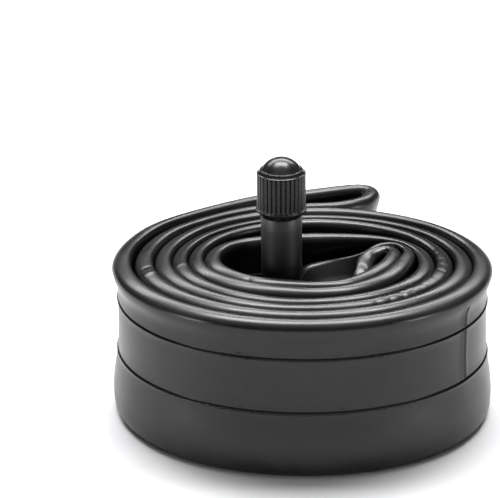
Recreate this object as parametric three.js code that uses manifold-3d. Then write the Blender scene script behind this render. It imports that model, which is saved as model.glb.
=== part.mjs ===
// A bicycle inner tube with a car type valve: pressed flat, folded in half at the valve and rolled
// up, standing on the edge of the flat band. Millimetres, +Z up, the floor at Z = 0.
// The route and the valve are laid out round the valve's axis. The whole group is then shifted so
// that the middle of its outline in plan is the origin.
import * as THREE from 'three';
import { ParametricGeometry } from 'three/addons/geometries/ParametricGeometry.js';
import { mergeVertices } from 'three/addons/utils/BufferGeometryUtils.js';
import Module from 'manifold-3d';

// ---- driving dimensions ------------------------------------------------------------------------
const BAND_HEIGHT = 33.4;        // flat tube standing on its edge
const STRAND_PITCH = 3.55;       // from one strand of the doubled band to the other
const TURN_PITCH = 7.3;          // from one turn of the doubled band to the next
const ROLL_CENTRE = new THREE.Vector2(6.4, 0.2);
const FIRST_RADIUS_X = 18.7;     // middle of the doubled band where the first turn starts
const FIRST_RADIUS_Y = 12.9;
const STEPS_PER_TURN = 20;
const ROLL_STEPS = 52;
const HOLE_SAG = 4.2;            // inner strand hangs away from its partner behind the hole
const OUTER_TURN_FLARE = 1.1;    // outermost strand stands out at the floor
const VALVE_TUBE_HEIGHT = 16;    // height of the opened-out tube under the valve

const STEM_MOUTH = 52.8;
const STEM_RADIUS = 4.2;
const THREAD_RADIUS = 3.85;      // 7.7 mm outside thread for the cap
const CORE_BORE_RADIUS = 2.65;   // 5.3 mm bore for the core's thread
const AIR_BORE_RADIUS = 2;
const CAP_RADIUS = 4.95;
const CAP_BOTTOM = 43.3;
const CAP_TOP = 55.5;
const GAP = 0.3;                 // between faces that touch
const ROUND_STEPS = 28;

// ---- helpers -----------------------------------------------------------------------------------
const wasm = await Module();
wasm.setup();

function solidOf(geometry) {
  const plain = geometry.clone();
  plain.deleteAttribute('normal');
  plain.deleteAttribute('uv');
  const merged = mergeVertices(plain, 1e-3);
  const mesh = new wasm.Mesh({
    numProp: 3,
    vertProperties: new Float32Array(merged.attributes.position.array),
    triVerts: new Uint32Array(merged.index.array),
  });
  return new wasm.Manifold(mesh);
}

function geometryOf(solid) {
  const mesh = solid.getMesh();
  const geometry = new THREE.BufferGeometry();
  geometry.setAttribute('position', new THREE.BufferAttribute(mesh.vertProperties, 3));
  geometry.setIndex(new THREE.BufferAttribute(mesh.triVerts, 1));
  geometry.computeVertexNormals();
  return geometry;
}

// A turned piece: [radius, height] pairs, upwards on the outside. An outline that doesn't start on
// the axis closes on itself.
function turned(outline, steps = ROUND_STEPS) {
  const points = outline.map(([radius, height]) => new THREE.Vector2(radius, height));
  if (points[0].x > 0) {
    points.push(points[0].clone());
  }
  const geometry = new THREE.LatheGeometry(points, steps);
  geometry.rotateX(Math.PI / 2);
  return geometry;
}

const rubber = { color: 0x2a2a2b, roughness: 0.5, metalness: 0 };
const sealRubber = { color: 0x1c1c1c, roughness: 0.7, metalness: 0 };
const plastic = { color: 0x161617, roughness: 0.3, metalness: 0 };
const brass = { color: 0xb5924c, roughness: 0.35, metalness: 1 };
const steel = { color: 0xa9abae, roughness: 0.3, metalness: 1 };

const group = new THREE.Group();

function add(name, geometry, look) {
  const mesh = new THREE.Mesh(geometry, new THREE.MeshStandardMaterial(look));
  mesh.name = name;
  group.add(mesh);
  return mesh;
}

// ---- the tube's route --------------------------------------------------------------------------
// A station is where the tube's top fold passes: place in plan and height, how far the tube leans,
// how far it is opened out (0 pressed flat, 1 round enough to carry the valve), and its flare.
function station(x, y, top = BAND_HEIGHT, lean = 0, open = 0, flare = 0) {
  return { x, y, top, lean, open, flare };
}

// Middle of the doubled band after a number of turns, clockwise from the right.
function rollMiddle(turn) {
  const angle = turn * 2 * Math.PI;
  const x = ROLL_CENTRE.x + (FIRST_RADIUS_X + TURN_PITCH * turn) * Math.cos(angle);
  const y = ROLL_CENTRE.y - (FIRST_RADIUS_Y + TURN_PITCH * turn) * Math.sin(angle);
  return new THREE.Vector2(x, y);
}

function rollOutward(turn) {
  const along = rollMiddle(turn + 1e-4).sub(rollMiddle(turn - 1e-4)).normalize();
  return new THREE.Vector2(-along.y, along.x);
}

function sagAt(turn) {
  const distance = THREE.MathUtils.clamp((turn - 0.745) / 0.2, -1, 1);
  return HOLE_SAG * Math.cos(distance * Math.PI / 2) ** 2;
}

function rollStation(step, side) {
  const turn = step / STEPS_PER_TURN;
  const away = side > 0 ? STRAND_PITCH / 2 : STRAND_PITCH / 2 + sagAt(turn);
  const place = rollMiddle(turn).addScaledVector(rollOutward(turn), side * away);
  const flare = side > 0 ? OUTER_TURN_FLARE * THREE.MathUtils.smoothstep(turn, 1.82, 2.02) : 0;
  return station(place.x, place.y, BAND_HEIGHT, 0, 0, flare);
}

const rollNumbers = Array.from({ length: ROLL_STEPS + 1 }, (_, step) => step);
const outerStrand = rollNumbers.map((step) => rollStation(step, 1));
const innerStrand = rollNumbers.map((step) => rollStation(step, -1)).reverse();

// From the valve along the back of the hole to the first turn's outer strand.
const valveToOuter = [
  station(0, 0, VALVE_TUBE_HEIGHT, 0, 1),
  station(0.5, 2.6, VALVE_TUBE_HEIGHT, 0, 1),
  station(1.9, 5, VALVE_TUBE_HEIGHT, 0, 0.75),
  station(4.8, 7, 20.5, -3, 0.35),
  station(9, 8.2, 28.6, -6, 0.08),
  station(14.8, 9, 30.8, -5),
  station(19.9, 8.2, 33),
  station(23.3, 6.5),
  station(25.8, 3.9),
];

// The open loop where the tube turns back on itself outside the roll.
const outerLoop = [
  station(-6.8, 35, BAND_HEIGHT, 0, 0, OUTER_TURN_FLARE / 2),
  station(4.2, 40),
  station(14, 42.2),
  station(18.6, 42),
  station(20.9, 38.9),
  station(17.6, 35.2),
  station(11.6, 32.4),
  station(4.2, 31.4),
  station(-6.8, 29.6),
];

// From the first turn's inner strand round the small drop-shaped loop and back to the valve.
const innerToValve = [
  station(22.6, 2),
  station(20.8, 4.2),
  station(18.5, 3.1, 33),
  station(17.2, 0.3, 32.6),
  station(16.1, -3.2, 31.8),
  station(13.4, -5.9, 30),
  station(9.4, -7.1, 26),
  station(4.8, -6.8, 20.5, 0, 0.35),
  station(1.9, -5, VALVE_TUBE_HEIGHT, 0, 0.75),
  station(0.5, -2.6, VALVE_TUBE_HEIGHT, 0, 1),
];

const controls = [...valveToOuter, ...outerStrand, ...outerLoop, ...innerStrand, ...innerToValve];
const firstRoll = valveToOuter.length;
const firstLoop = firstRoll + outerStrand.length;
const secondRoll = firstLoop + outerLoop.length;
const secondEnd = secondRoll + innerStrand.length;

const routePoints = controls.map((place) => new THREE.Vector3(place.x, place.y, place.top));
const shapePoints = controls.map((place) => new THREE.Vector3(place.lean, place.open, place.flare));
const route = new THREE.CatmullRomCurve3(routePoints, true, 'centripetal');
const shape = new THREE.CatmullRomCurve3(shapePoints, true, 'catmullrom', 0.3);

function inRoll(index) {
  const outer = index >= firstRoll && index < firstLoop - 1;
  const inner = index >= secondRoll && index < secondEnd - 1;
  return outer || inner;
}

const stations = [];
controls.forEach((_, index) => {
  const parts = inRoll(index) ? 1 : 2;
  for (let part = 0; part < parts; part += 1) {
    const share = (index + part / parts) / controls.length;
    const place = route.getPoint(share);
    const form = shape.getPoint(share);
    const lean = THREE.MathUtils.degToRad(form.x);
    const open = THREE.MathUtils.clamp(form.y, 0, 1);
    stations.push({ x: place.x, y: place.y, top: place.z, lean, open, flare: form.z });
  }
});

// ---- tube_body: one hollow moulding, closed on itself ------------------------------------------
// Each row: share of the height, half thickness pressed flat, half thickness opened out.
const OUTSIDE = [
  [0, 0.9, 3], [0.03, 1.42, 4], [0.12, 1.6, 4.7], [0.3, 1.3, 5], [0.7, 1.2, 5],
  [0.89, 1.3, 4.9], [0.95, 1.6, 4.7], [0.985, 1.25, 4.4], [1, 0.55, 4],
];
const INSIDE = [
  [0.028, 0.3, 2.7], [0.07, 0.75, 3.8], [0.3, 0.4, 4.2], [0.7, 0.4, 4.2], [0.93, 0.75, 3.9],
  [0.972, 0.3, 3.3],
];

function tubeSurface(rows) {
  const around = rows.length * 2;
  const place = (u, v, target) => {
    const index = Math.round(u * stations.length) % stations.length;
    const here = stations[index];
    const before = stations[(index + stations.length - 1) % stations.length];
    const after = stations[(index + 1) % stations.length];
    const along = new THREE.Vector2(after.x - before.x, after.y - before.y).normalize();
    const corner = Math.round(v * around) % around;
    const side = corner < rows.length ? -1 : 1;
    const row = rows[side < 0 ? corner : around - 1 - corner];
    const half = THREE.MathUtils.lerp(row[1], row[2], here.open);
    const bottom = here.top * (1 - row[0]);
    const flare = here.flare * (1 - row[0]) ** 2;
    const across = side * half + flare + bottom * Math.sin(here.lean);
    const height = here.top * row[0] + bottom * (1 - Math.cos(here.lean));
    target.set(here.x - along.y * across, here.y + along.x * across, height);
  };
  return solidOf(new ParametricGeometry(place, stations.length, around));
}

const valveHole = new THREE.CylinderGeometry(2.9, 2.9, 8, ROUND_STEPS);
valveHole.rotateX(Math.PI / 2);
valveHole.translate(0, 0, VALVE_TUBE_HEIGHT);
const hollow = tubeSurface(OUTSIDE).subtract(tubeSurface(INSIDE));
add('tube_body', geometryOf(hollow.subtract(solidOf(valveHole))), rubber);

// ---- valve patch and the stem's rubber jacket --------------------------------------------------
const patchBottom = VALVE_TUBE_HEIGHT + GAP;
const patchTop = patchBottom + 0.8;
add('valve_patch', turned([
  [3.3, patchBottom], [4.6, patchBottom], [4.6, patchTop - 0.3], [4.3, patchTop], [3.3, patchTop],
]), sealRubber);

const insertRadius = 3;
const jacketBottom = patchTop + GAP;
const jacketTop = CAP_BOTTOM - GAP;
const jacketBore = insertRadius + GAP;
add('stem_rubber', turned([
  [jacketBore, jacketBottom], [4.8, jacketBottom], [4.8, jacketBottom + 0.8],
  [STEM_RADIUS, jacketBottom + 2.4], [STEM_RADIUS, jacketTop - 0.3],
  [STEM_RADIUS - 0.3, jacketTop], [jacketBore, jacketTop],
]), rubber);

// ---- stem insert: outside thread for the cap, bore and tapered seat for the core ---------------
const insertBottom = VALVE_TUBE_HEIGHT - 0.4;
const threadBottom = jacketTop + GAP;
const seatTop = 46.5;
const seatBottom = 45.3;
add('stem_insert', turned([
  [AIR_BORE_RADIUS, insertBottom], [2.6, insertBottom], [2.6, patchTop], [insertRadius, patchTop + 0.6],
  [insertRadius, threadBottom], [THREAD_RADIUS, threadBottom], [THREAD_RADIUS, STEM_MOUTH - 0.5],
  [THREAD_RADIUS - 0.5, STEM_MOUTH], [CORE_BORE_RADIUS, STEM_MOUTH], [CORE_BORE_RADIUS, seatTop],
  [AIR_BORE_RADIUS, seatBottom],
]), brass);

// ---- valve core --------------------------------------------------------------------------------
const swivelTop = 52.1;
const swivelBottom = 48.8;
const swivel = solidOf(turned([
  [1.25, swivelBottom], [2.3, swivelBottom], [2.3, 51], [1.7, 51.2], [1.7, swivelTop],
  [1.25, swivelTop],
]));
const keyFlats = new THREE.BoxGeometry(4, 1.5, 1.2);
keyFlats.translate(0, 0, swivelTop);
add('core_swivel', geometryOf(swivel.subtract(solidOf(keyFlats))), brass);

const barrelTop = swivelBottom - GAP;
const barrelBottom = 43;
const springSeat = 43.9;
add('core_barrel', turned([
  [0.75, barrelBottom], [1.45, barrelBottom], [1.45, barrelTop], [1.1, barrelTop],
  [1.1, springSeat], [0.75, springSeat],
]), brass);

add('core_barrel_seal', turned([
  [1.72, 45.9], [1.95, 45.9], [2.3, 46.6], [2.3, 47.5], [1.72, 47.5],
]), sealRubber);

const pinRadius = 0.42;
const collarBottom = 47.4;
add('core_pin', turned([
  [0, 40.9], [0.95, 40.9], [0.95, 41.2], [pinRadius, 41.2], [pinRadius, collarBottom],
  [0.85, collarBottom], [0.85, 47.9], [pinRadius, 47.9], [pinRadius, 51.5], [0.75, 51.6],
  [0.75, 52], [0.6, 52.2], [0, 52.2],
], 16), brass);

add('core_cup', turned([
  [0.72, 41.5], [1.6, 41.5], [1.6, 42.75], [1.38, 42.75], [1.38, 41.8], [0.72, 41.8],
], 20), brass);

add('core_cup_seal', turned([
  [0.72, 42.1], [1.1, 42.1], [1.1, 42.7], [0.72, 42.7],
], 20), sealRubber);

class SpringCoil extends THREE.Curve {
  getPoint(share, target = new THREE.Vector3()) {
    const angle = share * SpringCoil.turns * 2 * Math.PI;
    const height = THREE.MathUtils.lerp(springSeat + 0.25, collarBottom - 0.25, share);
    return target.set(SpringCoil.radius * Math.cos(angle), SpringCoil.radius * Math.sin(angle), height);
  }
}
SpringCoil.turns = 5;
SpringCoil.radius = 0.77;
const wire = new THREE.Shape();
wire.absarc(0, 0, 0.13, 0, 2 * Math.PI);
const springForm = { steps: 60, curveSegments: 3, bevelEnabled: false, extrudePath: new SpringCoil() };
add('core_spring', new THREE.ExtrudeGeometry(wire, springForm), steel);

// ---- dust cap ----------------------------------------------------------------------------------
const capBore = THREAD_RADIUS + GAP;
const sealBottom = STEM_MOUTH + GAP;
const sealTop = sealBottom + 0.8;
add('cap_seal', turned([
  [0, sealBottom], [3.7, sealBottom], [3.7, sealTop], [0, sealTop],
]), sealRubber);

const flangeBottom = 44;
const flangeTop = 44.8;
const shoulder = 52.6;
add('cap_shell', turned([
  [0, sealTop + GAP], [capBore, sealTop + GAP], [capBore, CAP_BOTTOM], [4.6, CAP_BOTTOM],
  [4.75, flangeBottom], [5.25, flangeBottom], [5.25, flangeTop], [CAP_RADIUS, flangeTop],
  [CAP_RADIUS, shoulder], [4.6, shoulder + 0.5], [4.1, shoulder + 0.6], [3.9, 54.1],
  [2.9, 54.9], [1.6, 55.35], [0, CAP_TOP],
]), plastic);

// ---- shift to the middle of the outline in plan ------------------------------------------------
const outline = new THREE.Box3().setFromObject(group);
const middle = outline.getCenter(new THREE.Vector3());
group.position.set(-middle.x, -middle.y, 0);
group.updateMatrixWorld(true);

export default group;
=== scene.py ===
import bmesh
import bpy
from math import atan2, cos, exp, floor, hypot, pi, radians, sin
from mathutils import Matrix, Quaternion, Vector, noise
from mathutils.kdtree import KDTree


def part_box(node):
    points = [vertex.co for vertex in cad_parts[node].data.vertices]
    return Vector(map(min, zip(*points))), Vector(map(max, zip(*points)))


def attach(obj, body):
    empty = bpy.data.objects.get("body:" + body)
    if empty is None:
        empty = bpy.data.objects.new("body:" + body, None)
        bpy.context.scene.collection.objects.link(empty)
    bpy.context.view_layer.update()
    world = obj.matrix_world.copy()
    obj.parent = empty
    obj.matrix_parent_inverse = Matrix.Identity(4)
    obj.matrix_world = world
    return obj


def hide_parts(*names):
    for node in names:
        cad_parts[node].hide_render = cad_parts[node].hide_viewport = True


# A bicycle inner tube with a car type valve, pressed flat, folded in half at the valve and rolled
# up. It stands on the edge of the flat band. Each piece below is placed round the valve's axis.
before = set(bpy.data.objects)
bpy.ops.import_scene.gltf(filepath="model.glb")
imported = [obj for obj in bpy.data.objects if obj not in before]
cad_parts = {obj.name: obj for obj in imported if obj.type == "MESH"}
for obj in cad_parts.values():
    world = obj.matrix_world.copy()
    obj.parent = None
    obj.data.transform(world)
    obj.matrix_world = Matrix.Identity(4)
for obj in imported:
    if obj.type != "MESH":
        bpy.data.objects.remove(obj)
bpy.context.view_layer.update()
MM = 0.001
insert_low, insert_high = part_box("stem_insert")
valve_x = (insert_low.x + insert_high.x) / 2 / MM
valve_y = (insert_low.y + insert_high.y) / 2 / MM


def in_place(x, y, z):
    """A point given in millimetres from the foot of the valve's axis."""
    return Vector(((x + valve_x) * MM, (y + valve_y) * MM, z * MM))


# ---- camera ------------------------------------------------------------------------------------
# A long lens that looks down from the front at about 23 degrees, so that the rolled edge shows. It
# is turned by under a degree.
camera_data = bpy.data.cameras.new("camera")
camera_data.lens = 127.5
camera_data.sensor_width = 36
camera = bpy.data.objects.new("camera", camera_data)
camera.location = in_place(4.2, -334.8, 176.4)
camera_aim = in_place(-7.18, 21.87, 26.02)
CAMERA_ROLL = -0.72
camera_roll = Quaternion((0, 0, 1), radians(CAMERA_ROLL))
camera_turn = (camera_aim - camera.location).to_track_quat("-Z", "Y") @ camera_roll
camera.rotation_euler = camera_turn.to_euler()
bpy.context.scene.collection.objects.link(camera)
bpy.context.scene.camera = camera


# ---- tube: its route ---------------------------------------------------------------------------
# One butyl tube, moulded as a straight length and spliced into a loop. It is pressed flat, folded
# in half with the valve at the fold, and rolled up from the valve, so every turn is a doubled band.
BAND_HEIGHT = 33.4
STRAND_PITCH = 3.55
TURN_PITCH = 7.3
ROLL_MIDDLE = (6.4, 0.2)
FIRST_RADIUS = (18.7, 12.9)
LAST_TURN = 2.6
HOLE_SAG = 4.2                   # how far the inner strand sags into the hole
SAG_TURN = 0.745
SAG_REACH = 0.2
FLARE_TURN = 1.8                 # from here the outer strand has no neighbour outside it
FLARE_RUN = 0.22
VALVE_TUBE_HEIGHT = 16

# How far each strand strays outwards from the even spiral, at every quarter turn from the start.
OUTER_STRAND_STRAYS = (-0.2, -1.3, 0.1, 0.8, -0.8, -0.1, -0.6, 0.0, -0.4, -0.7, 0.6, 0.3)
INNER_STRAND_STRAYS = (0.0, -0.5, 0.2, 0.1, -0.9, 0.7, -0.4, -0.9, -0.6, -0.85, -0.35, -0.6)


def ease(share):
    """A soft start and stop between 0 and 1."""
    share = min(max(share, 0), 1)
    return share * share * (3 - 2 * share)


def along_list(values, place):
    """Smooth reading between the values of a list, at a place counted in list steps."""
    first = min(max(floor(place), 0), len(values) - 2)
    share = place - first
    before = values[max(first - 1, 0)]
    here = values[first]
    after = values[first + 1]
    beyond = values[min(first + 2, len(values) - 1)]
    slope_here = (after - before) / 2
    slope_after = (beyond - here) / 2
    bend = (share ** 3 - 2 * share ** 2 + share) * slope_here + (share ** 3 - share ** 2) * slope_after
    return here + (after - here) * share * share * (3 - 2 * share) + bend


def roll_middle(turn):
    """The middle of the doubled band, on an even oval spiral."""
    angle = 2 * pi * turn
    x = ROLL_MIDDLE[0] + (FIRST_RADIUS[0] + TURN_PITCH * turn) * cos(angle)
    y = ROLL_MIDDLE[1] - (FIRST_RADIUS[1] + TURN_PITCH * turn) * sin(angle)
    return Vector((x, y))


def roll_station(turn, strand):
    """A place on the outer (+1) or inner (-1) strand of the doubled band."""
    along = (roll_middle(turn + 0.0001) - roll_middle(turn - 0.0001)).normalized()
    outward = Vector((-along.y, along.x))
    away = strand * STRAND_PITCH / 2
    if strand > 0:
        away += along_list(OUTER_STRAND_STRAYS, turn * 4)
        flare = ease((turn - FLARE_TURN) / FLARE_RUN)
    else:
        distance = min(max((turn - SAG_TURN) / SAG_REACH, -1), 1)
        away += along_list(INNER_STRAND_STRAYS, turn * 4) - HOLE_SAG * cos(distance * pi / 2) ** 2
        flare = 0
    place = roll_middle(turn) + outward * away
    return (place.x, place.y, BAND_HEIGHT, 0, 0, flare, turn * strand)


def hand_station(x, y, top=BAND_HEIGHT, lean=0, opened=0, flare=0):
    """A place in plan, the top fold's height, the lean in degrees, how far the tube is opened out
    (1 is round enough to carry the valve) and how far its wall stands out at the floor."""
    return (x, y, top, lean, opened, flare, 0)


valve_to_outer = [
    hand_station(0, 0, VALVE_TUBE_HEIGHT, 0, 1),
    hand_station(0.2, 2.6, VALVE_TUBE_HEIGHT, 0, 1),
    hand_station(0.4, 5.2, 17, 0, 0.75),
    hand_station(1.6, 7.4, 22.5, -4, 0.35),
    hand_station(4.3, 9, 27.2, -30, 0.08),
    hand_station(7.8, 9.4, 28.4, -42),
    hand_station(11, 9.2, 29.2, -42),
    hand_station(14.4, 8.2, 30.3, -34),
    hand_station(16.6, 7.8, 31.2, -18),
    hand_station(18.5, 7.8, 32.3, -4),
    hand_station(20.3, 8.3, 33),
    hand_station(22, 8.7, 33.2),
    hand_station(23.7, 8.3),
    hand_station(25.3, 7),
    hand_station(26.3, 5.2),
    hand_station(26.4, 3.2),
    hand_station(25.5, 0.2),
    hand_station(23.8, -4.2),
    hand_station(21.4, -8.3),
    hand_station(18.8, -11),
    hand_station(15.8, -13.1),
    hand_station(12.4, -14.7),
    hand_station(7.1, -15.5),
    hand_station(1.8, -14.9),
]
outer_loop = [
    hand_station(-6.8, 34.6, BAND_HEIGHT, 0, 0, 0.5),
    hand_station(5.1, 38.4),
    hand_station(9.4, 39.9),
    hand_station(13.8, 41.4),
    hand_station(17.1, 42.1),
    hand_station(19.3, 41.3),
    hand_station(20, 39),
    hand_station(19.3, 37),
    hand_station(18.3, 35),
    hand_station(15.9, 32.9),
    hand_station(11.6, 31),
    hand_station(5.1, 30.1),
    hand_station(-6.8, 28.6),
]
inner_to_valve = [
    hand_station(3.8, -12.4),
    hand_station(7.9, -12.7),
    hand_station(13.1, -11.6),
    hand_station(17.7, -7.8),
    hand_station(19.7, -5.2),
    hand_station(21.8, -1.9),
    hand_station(23.2, 1.8),
    hand_station(23.7, 4.7),
    hand_station(22.6, 6.5),
    hand_station(21, 6.6, 33.2),
    hand_station(19.3, 5.6, 33),
    hand_station(18, 4.2, 32.8),
    hand_station(17.2, 1.4, 32.6),
    hand_station(16.9, -1.6, 32.3),
    hand_station(16, -4.2, 31.2),
    hand_station(14.4, -6.4, 28),
    hand_station(11, -7.6, 23),
    hand_station(6.5, -7.4, 18.5, 0, 0.3),
    hand_station(2.6, -5.6, VALVE_TUBE_HEIGHT, 0, 0.75),
    hand_station(0.5, -2.6, VALVE_TUBE_HEIGHT, 0, 1),
]
ROLL_START = 0.35
ROLL_STEPS = 45
roll_turns = [ROLL_START + (LAST_TURN - ROLL_START) * step / ROLL_STEPS for step in range(ROLL_STEPS + 1)]
outer_strand = [roll_station(turn, 1) for turn in roll_turns]
inner_strand = [roll_station(turn, -1) for turn in reversed(roll_turns)]
route = valve_to_outer + outer_strand + outer_loop + inner_strand + inner_to_valve


def between(before, here, after, beyond, share):
    """A point of a Catmull-Rom curve through the middle two of four points, spaced centripetally."""
    points = [Vector(point) for point in (before, here, after, beyond)]
    knots = [0]
    for first, second in zip(points, points[1:]):
        knots.append(knots[-1] + (second - first).length ** 0.5)
    time = knots[1] + (knots[2] - knots[1]) * share
    for level in (1, 2, 3):
        points = [
            points[i].lerp(points[i + 1], (time - low) / (high - low))
            for i, (low, high) in enumerate(spans(knots, level))
        ]
    return points[0]


def spans(knots, level):
    """The knots that each step of the curve's construction runs between."""
    if level == 1:
        return [(knots[0], knots[1]), (knots[1], knots[2]), (knots[2], knots[3])]
    if level == 2:
        return [(knots[0], knots[2]), (knots[1], knots[3])]
    return [(knots[1], knots[2])]


STEPS_BETWEEN = 30
fine_route = []
for index, here in enumerate(route):
    before = route[index - 1]
    after = route[(index + 1) % len(route)]
    beyond = route[(index + 2) % len(route)]
    for step in range(STEPS_BETWEEN):
        share = step / STEPS_BETWEEN
        place = between(before[:3], here[:3], after[:3], beyond[:3], share)
        shape = [low + (high - low) * share for low, high in zip(here[3:6], after[3:6])]
        turn = here[6] + (after[6] - here[6]) * share if here[6] * after[6] > 0 else 0
        fine_route.append((*place, *shape, turn))

# Stations are evenly spaced, and closer together at the splice, the flash and the nicks. The
# splice's place and the stretches of flash are given in turns of the roll.
STATION_SPACING = 1.2
FINE_SPACING = 0.3
FINEST_SPACING = 0.16
SPLICE_TURN = 2.094
SPLICE_REACH = 0.006
FLASH_TURNS = ((2.186, 2.229), (2.296, 2.344))
# Small nicks (or ridges, with a minus) across the fold: the turn, which is counted below zero on
# the inner strand, and the depth.
NICK_REACH = 0.0025              # in turns, each side of a nick
NICKS = (
    (1.18, 0.05), (1.163, 0.06), (1.145, 0.08), (1.126, -0.06), (1.106, 0.05), (1.075, 0.02),
    (1.05, 0.025), (1.03, 0.02), (1.008, 0.03), (0.985, 0.02), (0.966, 0.02), (-1.473, -0.05),
    (-2.47, 0.06), (-2.455, -0.06), (-2.51, 0.03), (-0.36, 0.06),
)


def spacing_at(turn):
    """The distance to the next station, in millimetres."""
    at_splice = abs(turn - SPLICE_TURN) < SPLICE_REACH
    if at_splice or any(abs(turn - nick) < NICK_REACH for nick, _ in NICKS):
        return FINEST_SPACING
    if any(start <= turn <= end for start, end in FLASH_TURNS):
        return FINE_SPACING
    return STATION_SPACING


stations = []
walked = 0
route_length = 0
previous = fine_route[-1]
for point in fine_route:
    step = (Vector(point[:3]) - Vector(previous[:3])).length
    route_length += step
    walked += step
    if not stations or walked >= spacing_at(point[6]):
        stations.append([*point, route_length])
        walked = 0
    previous = point
first_length = stations[0][7]
for station in stations:
    station[7] -= first_length
if route_length - first_length - stations[-1][7] < STATION_SPACING / 2:
    stations.pop()


def smoothed(values, passes):
    """Each value averaged with its neighbours round the loop, a number of times."""
    count = len(values)
    for _ in range(passes):
        values = [(values[i - 1] + 2 * values[i] + values[(i + 1) % count]) / 4 for i in range(count)]
    return values


def directions():
    """The level direction of travel at each station."""
    count = len(stations)
    found = []
    for i in range(count):
        run = Vector(stations[(i + 1) % count][:2]) - Vector(stations[i - 1][:2])
        found.append(run.normalized())
    return found


travel = directions()

# ---- tube: how thick it lies -------------------------------------------------------------------
# Pressed flat, the soft butyl tube has a folded edge above and below. Each fold springs open as
# far as the neighbouring strand lets it.
FREE_FOLD = 1.85                 # half thickness of a fold with nothing beside it
TIGHT_FOLD = 0.95
FOLD_SHARE = 0.475               # of the distance to the neighbouring strand
CREASED_SHARE = 0.45             # of that again where the strand lies over and its fold is sharp
CREASED_LEAN = -8
LOOK_ROUND = 9
SAME_STRAND = 5                  # nearer along the route than this isn't a neighbour
BESIDE = 1.3                     # a neighbour lies this close to straight across the strand

tree = KDTree(len(stations))
for index, station in enumerate(stations):
    tree.insert((station[0], station[1], 0), index)
tree.balance()


def room_beside(index, side):
    """The distance to the next strand on the left (1) or right (-1) of a station."""
    here = stations[index]
    along = travel[index]
    left = Vector((-along.y, along.x)) * side
    nearest = LOOK_ROUND
    for place, other, distance in tree.find_range((here[0], here[1], 0), LOOK_ROUND):
        apart = abs(stations[other][7] - here[7])
        if min(apart, route_length - apart) < SAME_STRAND:
            continue
        offset = Vector((place.x - here[0], place.y - here[1]))
        if abs(offset.dot(along)) < BESIDE and offset.dot(left) > 0.3:
            nearest = min(nearest, offset.dot(left))
    return nearest


def fold_sizes(side):
    """Half the thickness of the fold on one side of the strand, at each station."""
    sizes = []
    for index in range(len(stations)):
        room = room_beside(index, side)
        size = min(max(FOLD_SHARE * room, TIGHT_FOLD), FREE_FOLD)
        creased = stations[index][3] < CREASED_LEAN
        sizes.append(size * CREASED_SHARE if creased else size)
    return smoothed(sizes, 16)


left_folds = fold_sizes(1)
right_folds = fold_sizes(-1)
rooms_left = smoothed([room_beside(index, 1) for index in range(len(stations))], 6)
rooms_right = smoothed([room_beside(index, -1) for index in range(len(stations))], 6)

# ---- tube: its section -------------------------------------------------------------------------
# A pressed-flat tube on its edge. Its left face, which is the outside of the loop, carries the
# mould's two parting lines, which are narrow grooves with a raised lower lip.
UPPER_SEAM = 25.4
LOWER_SEAM = 14.1
# Rows of height, half thickness of a strand between others, what the outermost wall has more, and
# half thickness where the tube is opened out to carry the valve.
WALL = (
    (0.0, 0.55, 0.1, 3.0), (0.18, 0.95, 0.45, 3.4), (0.6, 1.3, 0.75, 4.0), (1.3, 1.5, 1.0, 4.3),
    (2.4, 1.62, 1.12, 4.6), (3.8, 1.6, 1.2, 4.8), (5.6, 1.5, 1.28, 5.0), (7.6, 1.38, 1.22, 5.0),
    (9.6, 1.28, 1.0, 5.0), (11.4, 1.2, 0.75, 5.0), (13.0, 1.16, 0.52, 5.0), (14.1, 1.14, 0.4, 5.0),
    (15.6, 1.12, 0.26, 5.0), (18.2, 1.1, 0.12, 5.0), (21, 1.1, 0.06, 5.0), (23.6, 1.1, 0.04, 4.95),
    (25.4, 1.08, 0.06, 4.9), (26.6, 1.05, 0.06, 4.85), (27.6, 1.05, 0.05, 4.8),
)
# Rows across a parting line: height from its middle, and how far the rubber stands out.
SEAM_ROWS = (
    (-0.62, 0), (-0.46, 0.06), (-0.32, 0.2), (-0.2, 0.16), (-0.11, -0.38), (0.13, -0.38),
    (0.22, -0.01), (0.36, 0.02), (0.6, 0),
)
NECK = 27.6
CREST_STEPS = 7
BELOW_CREST = (28.5, 29.4, 30.2)


def wall_at(height):
    """Half thickness, extra of the outermost wall and opened-out half thickness at a height."""
    for low, high in zip(WALL, WALL[1:]):
        if height <= high[0]:
            share = (height - low[0]) / (high[0] - low[0])
            return tuple(a + (b - a) * share for a, b in zip(low[1:], high[1:]))
    return WALL[-1][1:]


def section_rows(side):
    """The rows from the floor to the crest on one side: the kind of row, its height (or its angle
    on the crest), and how far the rubber stands out there."""
    heights = [(row[0], 0) for row in WALL]
    if side > 0:
        for seam in (LOWER_SEAM, UPPER_SEAM):
            near = [height for height, _ in heights if abs(height - seam) < 0.9]
            heights = [pair for pair in heights if pair[0] not in near]
            heights += [(seam + rise, depth) for rise, depth in SEAM_ROWS]
        heights.sort()
    rows = [("wall", height, depth) for height, depth in heights]
    rows += [("neck", height, 0) for height in BELOW_CREST]
    rows += [("crest", 90 * step / CREST_STEPS, 0) for step in range(CREST_STEPS)]
    return rows


left_rows = section_rows(1)
right_rows = section_rows(-1)
# Round the section: up the right side, over the crest, down the left side.
ring = [(-1, row) for row in right_rows]
ring += [(1, ("crest", 90, 0))]
ring += [(1, row) for row in reversed(left_rows)]


def waviness(length, height, side):
    """The slow unevenness of soft rubber, in millimetres."""
    slow = noise.noise(Vector((length / 17, height / 26, 3.1 * side)))
    quick = noise.noise(Vector((length / 6, height / 14, 9.7 * side)))
    return 0.16 * slow + 0.06 * quick


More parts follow.
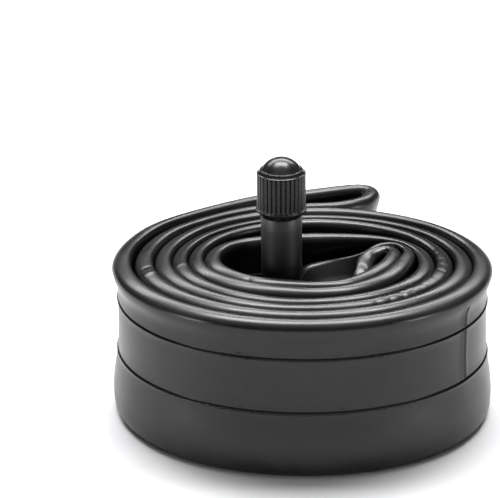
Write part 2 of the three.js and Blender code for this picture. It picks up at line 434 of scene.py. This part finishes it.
WALL_SHARE = 0.46                # of the distance to the neighbouring strand
FLARED_FOLD = 0.25               # what the fold of the outermost wall has more
EVENNESS = 0.3                   # how far a fold's two sides are made alike
ROUNDNESS = 1.02                 # height of the crest's curve against its half thickness
NECK_LIMIT = 1.06
SPLICE_TOP = 29.6
LEAN_REACH = 10                  # below the crest a leaning strand stands upright again
WRINKLE = 0.2                    # on the strands that go down into the hole
WRINKLE_LENGTH = 0.9
WIDE_HALF = 4.5                  # half the thickness of the crest where the valve sits
NECK_WIDE_HALF = 4.7
NICK_RUN = 170                   # millimetres of strand in a turn, where the nicks are
CREST_TILT = 0.8                 # how far the crest leans inwards at the roll's left and right
NICK_WIDTH = 0.16
FLASH_HEIGHT = 0.3


def tube_point(index, ring_index):
    """The place of one vertex, from its station along the tube and its row round the section."""
    x, y, top, lean, opened, flare, turn, length = stations[index]
    side, (kind, level, depth) = ring[ring_index]
    fold = left_folds[index] if side > 0 else right_folds[index]
    room = rooms_left[index] if side > 0 else rooms_right[index]
    mean_fold = (left_folds[index] + right_folds[index]) / 2
    fold = fold + (mean_fold - fold) * EVENNESS
    fold += (FLARED_FOLD * flare if side > 0 else 0)
    crest_radius = mean_fold * ROUNDNESS
    neck_half = min(NECK_LIMIT, fold * 0.8)
    if kind == "crest":
        angle = radians(level)
        share_up = 1 - crest_radius * (1 - sin(angle)) / top
        half = fold * cos(angle)
        half += (WIDE_HALF - fold) * opened * cos(angle)
        height = top * share_up
        level = BAND_HEIGHT * share_up
    elif kind == "neck":
        crest_level = BAND_HEIGHT - crest_radius
        share = (level - NECK) / (crest_level - NECK)
        half = neck_half + (fold - neck_half) * ease(share * 0.93 + 0.02)
        half += (NECK_WIDE_HALF - half) * opened
        height = top * level / BAND_HEIGHT
    else:
        plain, extra, wide = wall_at(level)
        half = min(plain, WALL_SHARE * room if room < 8 else plain)
        half += extra * flare if side > 0 else 0
        half += (wide - half) * opened
        height = top * level / BAND_HEIGHT
    wave = waviness(length, level, side)
    if top < BAND_HEIGHT - 0.3 and opened < 0.3:
        wave += WRINKLE * noise.noise(Vector((length / WRINKLE_LENGTH, level / 6, 4.4 * side)))
    half += wave * min(1, level / 6) * (0.5 if kind == "crest" else 0.8) * (1 - opened)
    for nick, nick_depth in NICKS:
        if kind != "wall" and abs(turn - nick) < 0.01:
            cut = nick_depth * exp(-(((turn - nick) * NICK_RUN / NICK_WIDTH) ** 2))
            half -= cut
            height -= cut
    half += depth
    if depth < -0.2 and opened > 0.5:
        half -= depth
    if side > 0 and abs(turn - SPLICE_TURN) < 0.02 and LOWER_SEAM < level < SPLICE_TOP and depth == 0:
        half += splice_line(turn)
    if side > 0 and 0 < depth and any(start <= turn <= end for start, end in FLASH_TURNS):
        half += FLASH_HEIGHT * noise.noise(Vector((length * 2, level * 2, 0)))
    along = travel[index]
    left = Vector((-along.y, along.x))
    bottom = min(top - height, LEAN_REACH)
    across = side * half + bottom * sin(radians(lean))
    drop = bottom * (1 - cos(radians(lean))) * min(1, height / 8)
    inward = Vector((ROLL_MIDDLE[0] - x, ROLL_MIDDLE[1] - y)).normalized()
    if kind == "crest":
        across += CREST_TILT * inward.dot(left) * abs(inward.x) * sin(angle) ** 2
    return in_place(x + left.x * across, y + left.y * across, height + drop)


SPLICE_RADIUS = 36               # of the roll, where the splice is
SPLICE_GROOVE = (0.42, 0.26)     # depth and half width
SPLICE_RIDGE = (0.16, 0.25)
RIDGE_DISTANCE = 0.6


def splice_line(turn):
    """The narrow groove where the tube's two ends are joined, with a low ridge on each side."""
    distance = abs(turn - SPLICE_TURN) * 2 * pi * SPLICE_RADIUS
    groove = SPLICE_GROOVE[0] * exp(-((distance / SPLICE_GROOVE[1]) ** 2))
    ridge = SPLICE_RIDGE[0] * exp(-(((distance - RIDGE_DISTANCE) / SPLICE_RIDGE[1]) ** 2))
    return ridge - groove


def surface_from_grid(name, columns, rows, place):
    """A mesh bent from a flat grid, closed along both its seams. Its UV map follows the grid."""
    shape = bmesh.new()
    shape.loops.layers.uv.new("UVMap")
    bmesh.ops.create_grid(shape, x_segments=columns, y_segments=rows, size=0.5, calc_uvs=True)
    for vertex in shape.verts:
        column = round((vertex.co.x + 0.5) * columns)
        row = round((vertex.co.y + 0.5) * rows)
        vertex.co = place(column % columns, row % rows)
    bmesh.ops.remove_doubles(shape, verts=shape.verts, dist=1e-7)
    bmesh.ops.recalc_face_normals(shape, faces=shape.faces)
    mesh = bpy.data.meshes.new(name)
    shape.to_mesh(mesh)
    shape.free()
    mesh.shade_smooth()
    piece = bpy.data.objects.new(name, mesh)
    bpy.context.scene.collection.objects.link(piece)
    return piece


tube = surface_from_grid("tube", len(stations), len(ring), tube_point)

# ---- tube: black butyl -------------------------------------------------------------------------
# Butyl loaded with carbon black: nearly black, a soft gloss, fine grain from the mould, faint
# bloom in clouds and drawn-out streaks along its length.


def new_group(name, inputs, outputs):
    """A shader node group with its sockets, and its two end nodes."""
    group = bpy.data.node_groups.new(name, "ShaderNodeTree")
    for socket, kind, value in inputs:
        made = group.interface.new_socket(socket, in_out="INPUT", socket_type=kind)
        if value is not None:
            made.default_value = value
    for socket, kind in outputs:
        group.interface.new_socket(socket, in_out="OUTPUT", socket_type=kind)
    start = group.nodes.new("NodeGroupInput")
    end = group.nodes.new("NodeGroupOutput")
    return group, start, end


def node(tree, kind, values=(), **settings):
    """A node with its settings, and with values given to its sockets by name or number."""
    made = tree.nodes.new(kind)
    for setting, value in settings.items():
        setattr(made, setting, value)
    for socket, value in dict(values).items():
        made.inputs[socket].default_value = value
    return made


def build_rubber_skin():
    """Mottled bloom, fine grain and streaks: a height and two masks from 0 to 1."""
    group, start, end = new_group(
        "rubber_skin",
        [
            ("Place", "NodeSocketVector", None), ("Along", "NodeSocketVector", None),
            ("Grain Scale", "NodeSocketFloat", 2600.0), ("Cloud Scale", "NodeSocketFloat", 55.0),
            ("Streak Scale", "NodeSocketFloat", 5.0),
        ],
        [("Height", "NodeSocketFloat"), ("Bloom", "NodeSocketFloat"), ("Streaks", "NodeSocketFloat")],
    )
    link = group.links.new
    grain = node(group, "ShaderNodeTexNoise", {"Detail": 3.0, "Roughness": 0.6})
    cloud = node(group, "ShaderNodeTexNoise", {"Detail": 4.0, "Roughness": 0.55, "Distortion": 0.4})
    streak = node(group, "ShaderNodeTexNoise", {"Detail": 3.0, "Roughness": 0.6})
    link(start.outputs["Place"], grain.inputs["Vector"])
    link(start.outputs["Grain Scale"], grain.inputs["Scale"])
    link(start.outputs["Place"], cloud.inputs["Vector"])
    link(start.outputs["Cloud Scale"], cloud.inputs["Scale"])
    link(start.outputs["Along"], streak.inputs["Vector"])
    link(start.outputs["Streak Scale"], streak.inputs["Scale"])
    bloom = node(group, "ShaderNodeMapRange", {"From Min": 0.35, "From Max": 0.7})
    link(cloud.outputs["Fac"], bloom.inputs["Value"])
    lines = node(group, "ShaderNodeMapRange", {"From Min": 0.42, "From Max": 0.66})
    link(streak.outputs["Fac"], lines.inputs["Value"])
    link(grain.outputs["Fac"], end.inputs["Height"])
    link(bloom.outputs["Result"], end.inputs["Bloom"])
    link(lines.outputs["Result"], end.inputs["Streaks"])
    return group


rubber_skin = build_rubber_skin()
TUBE_PERIMETER = 0.07


def new_material(name, color, roughness, metallic=0.0):
    """A material, its tree and its Principled shader."""
    material = bpy.data.materials.new(name)
    material.use_nodes = True
    tree = material.node_tree
    shader = tree.nodes["Principled BSDF"]
    shader.inputs["Base Color"].default_value = (*color, 1)
    shader.inputs["Roughness"].default_value = roughness
    shader.inputs["Metallic"].default_value = metallic
    return material, tree, shader


def blended(tree, mask, low, high, target):
    """The mask's range mapped on to a colour or a value, linked to a socket."""
    if isinstance(low, tuple):
        mix = node(tree, "ShaderNodeMix", data_type="RGBA")
        mix.inputs[6].default_value = (*low, 1)
        mix.inputs[7].default_value = (*high, 1)
        tree.links.new(mask, mix.inputs[0])
        tree.links.new(mix.outputs[2], target)
    else:
        spread = node(tree, "ShaderNodeMapRange", {"To Min": low, "To Max": high})
        tree.links.new(mask, spread.inputs["Value"])
        tree.links.new(spread.outputs["Result"], target)


def make_tube_rubber():
    """Tube butyl: bloom and streaks change its colour and gloss, and the grain its surface."""
    material, tree, shader = new_material("tube_butyl", (0.02, 0.02, 0.021), 0.4)
    place = node(tree, "ShaderNodeTexCoord")
    skin = node(tree, "ShaderNodeGroup", node_tree=rubber_skin)
    flow = node(tree, "ShaderNodeMapping")
    flow.inputs["Scale"].default_value = (route_length * MM * 20, TUBE_PERIMETER * 320, 1)
    tree.links.new(place.outputs["Object"], skin.inputs["Place"])
    tree.links.new(place.outputs["UV"], flow.inputs["Vector"])
    tree.links.new(flow.outputs["Vector"], skin.inputs["Along"])
    skin.inputs["Streak Scale"].default_value = 1.0
    dark = (0.005, 0.005, 0.0055)
    bloomed = (0.013, 0.013, 0.0137)
    blended(tree, skin.outputs["Bloom"], dark, bloomed, shader.inputs["Base Color"])
    soft = node(tree, "ShaderNodeMath", operation="MULTIPLY_ADD")
    soft.inputs[1].default_value = 0.5
    tree.links.new(skin.outputs["Streaks"], soft.inputs[0])
    tree.links.new(skin.outputs["Bloom"], soft.inputs[2])
    blended(tree, soft.outputs["Value"], 0.24, 0.34, shader.inputs["Roughness"])
    shader.inputs["Specular IOR Level"].default_value = 0.36
    bump = node(tree, "ShaderNodeBump", {"Strength": 0.16, "Distance": 0.00006})
    tree.links.new(skin.outputs["Height"], bump.inputs["Height"])
    tree.links.new(bump.outputs["Normal"], shader.inputs["Normal"])
    return material


tube.data.materials.append(make_tube_rubber())
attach(tube, "tube")
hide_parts("tube_body")

# ---- valve patch -------------------------------------------------------------------------------
# A round of sheet rubber, vulcanised to the tube's face under the valve's foot, where it spreads
# the valve's pull over the thin wall. It keeps the shape it has in the CAD.


def make_plain_rubber(name, color, roughness, bump_strength):
    """Moulded rubber with bloom and grain, but no streaks."""
    material, tree, shader = new_material(name, color, roughness)
    place = node(tree, "ShaderNodeTexCoord")
    skin = node(tree, "ShaderNodeGroup", node_tree=rubber_skin)
    skin.inputs["Cloud Scale"].default_value = 160
    tree.links.new(place.outputs["Object"], skin.inputs["Place"])
    tree.links.new(place.outputs["Object"], skin.inputs["Along"])
    lighter = tuple(channel * 1.7 for channel in color)
    blended(tree, skin.outputs["Bloom"], color, lighter, shader.inputs["Base Color"])
    blended(tree, skin.outputs["Bloom"], roughness - 0.04, roughness + 0.08, shader.inputs["Roughness"])
    bump = node(tree, "ShaderNodeBump", {"Strength": bump_strength, "Distance": 0.00004})
    tree.links.new(skin.outputs["Height"], bump.inputs["Height"])
    tree.links.new(bump.outputs["Normal"], shader.inputs["Normal"])
    return material


def give_material(piece, material):
    """Puts the material in every slot of a piece."""
    if piece.material_slots:
        for material_slot in piece.material_slots:
            material_slot.material = material
    else:
        piece.data.materials.append(material)


seal_material = make_plain_rubber("seal_rubber", (0.012, 0.012, 0.012), 0.62, 0.2)
give_material(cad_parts["valve_patch"], seal_material)

# ---- stem rubber -------------------------------------------------------------------------------
# The stem's black rubber jacket, moulded on to the brass insert, with a flared foot that is
# vulcanised to the patch. Its upper end stops under the cap.


def turned_piece(name, outline, steps, edge=0.0):
    """A piece turned round the valve's axis from (radius, height) pairs, with its edges eased."""
    shape = bmesh.new()
    corners = [shape.verts.new(in_place(radius, 0, height)) for radius, height in outline]
    if outline[0][0] > 0:
        corners.append(corners[0])
    for first, second in zip(corners, corners[1:]):
        shape.edges.new((first, second))
    bmesh.ops.spin(
        shape, geom=shape.verts[:] + shape.edges[:], cent=in_place(0, 0, 0), axis=(0, 0, 1),
        angle=2 * pi, steps=steps, use_merge=True, use_duplicate=False,
    )
    bmesh.ops.remove_doubles(shape, verts=shape.verts, dist=1e-7)
    bmesh.ops.dissolve_degenerate(shape, edges=shape.edges, dist=1e-8)
    bmesh.ops.recalc_face_normals(shape, faces=shape.faces)
    if edge:
        sharp = [e for e in shape.edges if len(e.link_faces) == 2 and e.calc_face_angle(0) > radians(28)]
        level = [e for e in sharp if abs(e.verts[0].co.z - e.verts[1].co.z) < 1e-6]
        bmesh.ops.bevel(
            shape, geom=level, offset=edge * MM, offset_type="OFFSET", segments=2, profile=0.5,
            affect="EDGES", material=-1, clamp_overlap=True,
        )
    mesh = bpy.data.meshes.new(name)
    shape.to_mesh(mesh)
    shape.free()
    mesh.shade_smooth()
    piece = bpy.data.objects.new(name, mesh)
    bpy.context.scene.collection.objects.link(piece)
    return piece


JACKET_RADIUS = 4.2
JACKET_BORE = 3.3
FOOT_RADIUS = 4.8
FILLET_STEPS = 4
jacket_low, jacket_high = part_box("stem_rubber")
jacket_foot = jacket_low.z / MM
jacket_top = jacket_high.z / MM
jacket_outline = [(JACKET_BORE, jacket_foot), (FOOT_RADIUS, jacket_foot), (FOOT_RADIUS, jacket_foot + 0.7)]
for step in range(FILLET_STEPS + 1):
    angle = radians(90 * step / FILLET_STEPS)
    jacket_outline.append((FOOT_RADIUS - 0.6 * sin(angle), jacket_foot + 2.6 - 1.8 * cos(angle)))
jacket_outline += [(JACKET_RADIUS, height) for height in (24, 28, 32, 36, 40)]
jacket_outline += [(JACKET_RADIUS, jacket_top - 0.01), (JACKET_BORE, jacket_top)]
stem_rubber = turned_piece("stem_jacket", jacket_outline, 96, edge=0.22)
stem_material = make_plain_rubber("stem_butyl", (0.004, 0.004, 0.0052), 0.44, 0.12)
stem_material.node_tree.nodes["Principled BSDF"].inputs["Specular IOR Level"].default_value = 0.8
give_material(stem_rubber, stem_material)
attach(stem_rubber, "tube")
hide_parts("stem_rubber")

# ---- stem insert -------------------------------------------------------------------------------
# A tube turned from brass rod, with the rubber jacket moulded round its lower part. The thread
# outside takes the cap, and the core screws into its bore.
STEM_THREAD_PITCH = 0.794
THREAD_DEPTH = 0.4
thread_foot = jacket_top + 0.3
stem_mouth = insert_high.z / MM


def thread_ring_heights(low, high, pitch, per_turn):
    """Even heights that give a thread a number of rings in each turn."""
    count = round((high - low) / pitch * per_turn)
    return [low + (high - low) * step / count for step in range(count + 1)]


def cut_thread(piece, radius, low, high, pitch, depth):
    """Cuts a right-hand thread into a turned piece's cylinder between two heights."""
    middle = in_place(0, 0, 0)
    for vertex in piece.data.vertices:
        x = (vertex.co.x - middle.x) / MM
        y = (vertex.co.y - middle.y) / MM
        z = vertex.co.z / MM
        here = hypot(x, y)
        if abs(here - radius) > 0.02 or not low < z < high:
            continue
        phase = (z / pitch - atan2(y, x) / (2 * pi)) % 1
        groove = min(1, max(0, 1.25 - abs(phase - 0.5) * 3.2))
        fade = min(1, (z - low) / (pitch * 0.6), (high - z) / (pitch * 0.6))
        shrunk = (here - depth * groove * fade) / here
        vertex.co.x = middle.x + x * shrunk * MM
        vertex.co.y = middle.y + y * shrunk * MM


INSERT_THREAD_RADIUS = 3.85
insert_outline = [(2, insert_low.z / MM), (2.6, insert_low.z / MM), (2.6, 17.1), (3, 17.7)]
insert_outline += [(3, thread_foot)]
insert_outline += [(INSERT_THREAD_RADIUS - 0.35, thread_foot)]
insert_outline += [
    (INSERT_THREAD_RADIUS, height)
    for height in thread_ring_heights(thread_foot + 0.35, stem_mouth - 0.5, STEM_THREAD_PITCH, 10)
]
insert_outline += [(3.35, stem_mouth), (2.65, stem_mouth), (2.65, 46.5), (2, 45.3)]
stem_insert = turned_piece("stem_insert_brass", insert_outline, 96)
cut_thread(
    stem_insert, INSERT_THREAD_RADIUS, thread_foot + 0.2, stem_mouth - 0.4, STEM_THREAD_PITCH,
    THREAD_DEPTH,
)


def make_turned_metal(name, dark, light, roughness):
    """Machined metal: fine rings from the tool round the axis, and a faint tarnish in clouds."""
    material, tree, shader = new_material(name, light, roughness, 1.0)
    place = node(tree, "ShaderNodeTexCoord")
    rings = node(tree, "ShaderNodeMapping")
    rings.inputs["Scale"].default_value = (40, 40, 9000)
    tree.links.new(place.outputs["Object"], rings.inputs["Vector"])
    tool = node(tree, "ShaderNodeTexNoise", {"Scale": 1.0, "Detail": 2.0})
    tree.links.new(rings.outputs["Vector"], tool.inputs["Vector"])
    tarnish = node(tree, "ShaderNodeTexNoise", {"Scale": 900.0, "Detail": 4.0})
    tree.links.new(place.outputs["Object"], tarnish.inputs["Vector"])
    blended(tree, tarnish.outputs["Fac"], dark, light, shader.inputs["Base Color"])
    blended(tree, tool.outputs["Fac"], roughness - 0.08, roughness + 0.1, shader.inputs["Roughness"])
    bump = node(tree, "ShaderNodeBump", {"Strength": 0.25, "Distance": 0.00001})
    tree.links.new(tool.outputs["Fac"], bump.inputs["Height"])
    tree.links.new(bump.outputs["Normal"], shader.inputs["Normal"])
    return material


brass_material = make_turned_metal("turned_brass", (0.52, 0.36, 0.15), (0.78, 0.58, 0.28), 0.28)
give_material(stem_insert, brass_material)
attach(stem_insert, "tube")
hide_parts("stem_insert")

# ---- valve core --------------------------------------------------------------------------------
# A screwed-in check valve: a brass swivel and barrel with a rubber seal, and a brass pin whose cup
# is held shut by a small steel spring. Pressing the pin lets the air out.
steel_material = make_turned_metal("spring_wire", (0.45, 0.45, 0.46), (0.66, 0.66, 0.67), 0.25)
for name in ("core_swivel", "core_barrel", "core_pin", "core_cup"):
    give_material(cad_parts[name], brass_material)
for name in ("core_barrel_seal", "core_cup_seal"):
    give_material(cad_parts[name], seal_material)
give_material(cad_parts["core_spring"], steel_material)

# ---- cap seal ----------------------------------------------------------------------------------
# A thin disc of rubber, pressed into the cap's closed end. It shuts on the stem's mouth when the
# cap is screwed down, and it rises with the cap.
SEAL_THICKNESS = 0.35
seal_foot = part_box("cap_seal")[0].z / MM
SEAL_RADIUS = 3.2
seal_outline = [(0, seal_foot), (SEAL_RADIUS, seal_foot), (SEAL_RADIUS, seal_foot + SEAL_THICKNESS)]
seal_outline += [(0, seal_foot + SEAL_THICKNESS)]
seal_disc = turned_piece("cap_seal_disc", seal_outline, 64, edge=0.08)
give_material(seal_disc, seal_material)
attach(seal_disc, "cap_lift")
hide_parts("cap_seal")

# ---- dust cap ----------------------------------------------------------------------------------
# A moulded black plastic cap with a glossy shallow dome, a bevelled shoulder, 32 rounded ribs to
# grip, a thin flange and a plain tapered collar below it.
CAP_RADIUS = 5.0
CAP_RIBS = 32
GROOVE_DEPTH = 0.5
STEPS_PER_RIB = 12
DOME_RADIUS = 4.61
DOME_EDGE = 4.02
cap_low, cap_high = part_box("cap_shell")
cap_foot = cap_low.z / MM
cap_top = cap_high.z / MM
cap_bore = 4.15
flange_foot = cap_foot + 0.75
flange_top = cap_foot + 1.3
shoulder = cap_top - 3.4
lip = cap_top - 2.7
recess = seal_foot + SEAL_THICKNESS + 0.05
groove_low = flange_top + 0.12
groove_high = shoulder - 0.12
cap_outline = [(0, recess), (3.3, recess), (3.42, recess - 0.52), (cap_bore, recess - 1.1)]
cap_outline += [(cap_bore, cap_foot)]
cap_outline += [(4.5, cap_foot), (4.58, cap_foot + 0.08), (4.74, flange_foot - 0.03), (5.1, flange_foot)]
cap_outline += [(5.24, flange_foot + 0.1), (5.25, flange_top - 0.12), (5.2, flange_top - 0.02)]
cap_outline += [(5.1, flange_top), (CAP_RADIUS, flange_top + 0.02)]
RIB_RINGS = 24
for step in range(RIB_RINGS + 1):
    share = step / RIB_RINGS
    eased = 0.5 - 0.5 * cos(pi * share)
    cap_outline.append((CAP_RADIUS - 0.04 * share, groove_low + (groove_high - groove_low) * eased))
cap_outline += [(4.94, shoulder - 0.06), (4.88, shoulder), (4.78, shoulder + 0.02), (4.72, shoulder + 0.08)]
cap_outline += [(4.34, lip - 0.12), (4.32, lip - 0.05), (4.25, lip), (4.16, lip), (4.09, lip - 0.05)]
dome_middle = cap_top - 0.35 - DOME_RADIUS
DOME_STEPS = 14
for step in range(DOME_STEPS + 1):
    radius = DOME_EDGE * (1 - step / DOME_STEPS)
    cap_outline.append((radius, dome_middle + (DOME_RADIUS ** 2 - radius ** 2) ** 0.5))
cap_shell = turned_piece("dust_cap", cap_outline, CAP_RIBS * STEPS_PER_RIB)

middle = in_place(0, 0, 0)
for vertex in cap_shell.data.vertices:
    x = (vertex.co.x - middle.x) / MM
    y = (vertex.co.y - middle.y) / MM
    z = vertex.co.z / MM
    here = hypot(x, y)
    if here < 4.9 or not groove_low < z < groove_high:
        continue
    from_rib = abs((CAP_RIBS * atan2(y, x) / (2 * pi)) % 1 - 0.5) * 2
    ends = min(ease((z - groove_low) / 0.3), ease((groove_high - z) / 0.35))
    shrunk = (here - GROOVE_DEPTH * from_rib ** 3.2 * ends) / here
    vertex.co.x = middle.x + x * shrunk * MM
    vertex.co.y = middle.y + y * shrunk * MM


def make_cap_plastic():
    """Glossy moulded plastic with a faint orange peel and fine scuffs."""
    material, tree, shader = new_material("cap_plastic", (0.008, 0.008, 0.0085), 0.24)
    shader.inputs["Specular IOR Level"].default_value = 0.36
    place = node(tree, "ShaderNodeTexCoord")
    peel = node(tree, "ShaderNodeTexNoise", {"Scale": 1400.0, "Detail": 2.0})
    scuff = node(tree, "ShaderNodeTexNoise", {"Scale": 300.0, "Detail": 5.0, "Roughness": 0.7})
    tree.links.new(place.outputs["Object"], peel.inputs["Vector"])
    tree.links.new(place.outputs["Object"], scuff.inputs["Vector"])
    blended(tree, scuff.outputs["Fac"], 0.2, 0.34, shader.inputs["Roughness"])
    dark = (0.006, 0.006, 0.0065)
    scuffed = (0.011, 0.011, 0.0115)
    blended(tree, scuff.outputs["Fac"], dark, scuffed, shader.inputs["Base Color"])
    bump = node(tree, "ShaderNodeBump", {"Strength": 0.08, "Distance": 0.00003})
    tree.links.new(peel.outputs["Fac"], bump.inputs["Height"])
    tree.links.new(bump.outputs["Normal"], shader.inputs["Normal"])
    return material


give_material(cap_shell, make_cap_plastic())
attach(cap_shell, "cap")
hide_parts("cap_shell")

# ---- floor, lights and surroundings ------------------------------------------------------------
# A plain pale sweep. A soft light hangs above and a little behind, a wide low one stands farther
# back, a dim ceiling fills the shadows and two strips stand at the sides. The rest is dark.
floor_mesh = bpy.data.meshes.new("floor")
floor_shape = bmesh.new()
bmesh.ops.create_grid(floor_shape, x_segments=1, y_segments=1, size=6)
floor_shape.to_mesh(floor_mesh)
floor_shape.free()
floor_piece = bpy.data.objects.new("floor", floor_mesh)
bpy.context.scene.collection.objects.link(floor_piece)
floor_material, _, floor_shader = new_material("white_floor", (0.58, 0.58, 0.59), 0.7)
floor_shader.inputs["Specular IOR Level"].default_value = 0.1
floor_mesh.materials.append(floor_material)


def softbox(name, place, aim, width, height, watts):
    """A rectangular light that hangs at a place and faces another."""
    data = bpy.data.lights.new(name, "AREA")
    data.shape = "RECTANGLE"
    data.size = width
    data.size_y = height
    data.energy = watts
    light = bpy.data.objects.new(name, data)
    light.location = place
    light.rotation_euler = (Vector(aim) - Vector(place)).to_track_quat("-Z", "Y").to_euler()
    bpy.context.scene.collection.objects.link(light)


softbox("overhead_softbox", (0, 0.22, 0.95), (0, 0, 0.03), 0.8, 0.36, 22)
softbox("back_softbox", (-0.05, 0.66, 0.66), (0, 0, 0.03), 1.3, 0.2, 11)
softbox("ceiling_panel", (0, -0.25, 1.2), (0, 0, 0.03), 1.6, 1.2, 4.0)
softbox("left_strip", (-0.76, -0.44, 0.12), (0, 0, 0.04), 0.1, 0.25, 2.2)
softbox("right_strip", (0.76, -0.44, 0.12), (0, 0, 0.04), 0.1, 0.25, 2.2)

world = bpy.data.worlds.new("studio")
bpy.context.scene.world = world
world.use_nodes = True
surroundings = world.node_tree
background = surroundings.nodes["Background"]
rays = surroundings.nodes.new("ShaderNodeLightPath")
seen = surroundings.nodes.new("ShaderNodeMapRange")
seen.inputs["To Min"].default_value = 0.02
seen.inputs["To Max"].default_value = 1.0
surroundings.links.new(rays.outputs["Is Camera Ray"], seen.inputs["Value"])
surroundings.links.new(seen.outputs["Result"], background.inputs["Color"])
bpy.context.scene.view_settings.view_transform = "Standard"
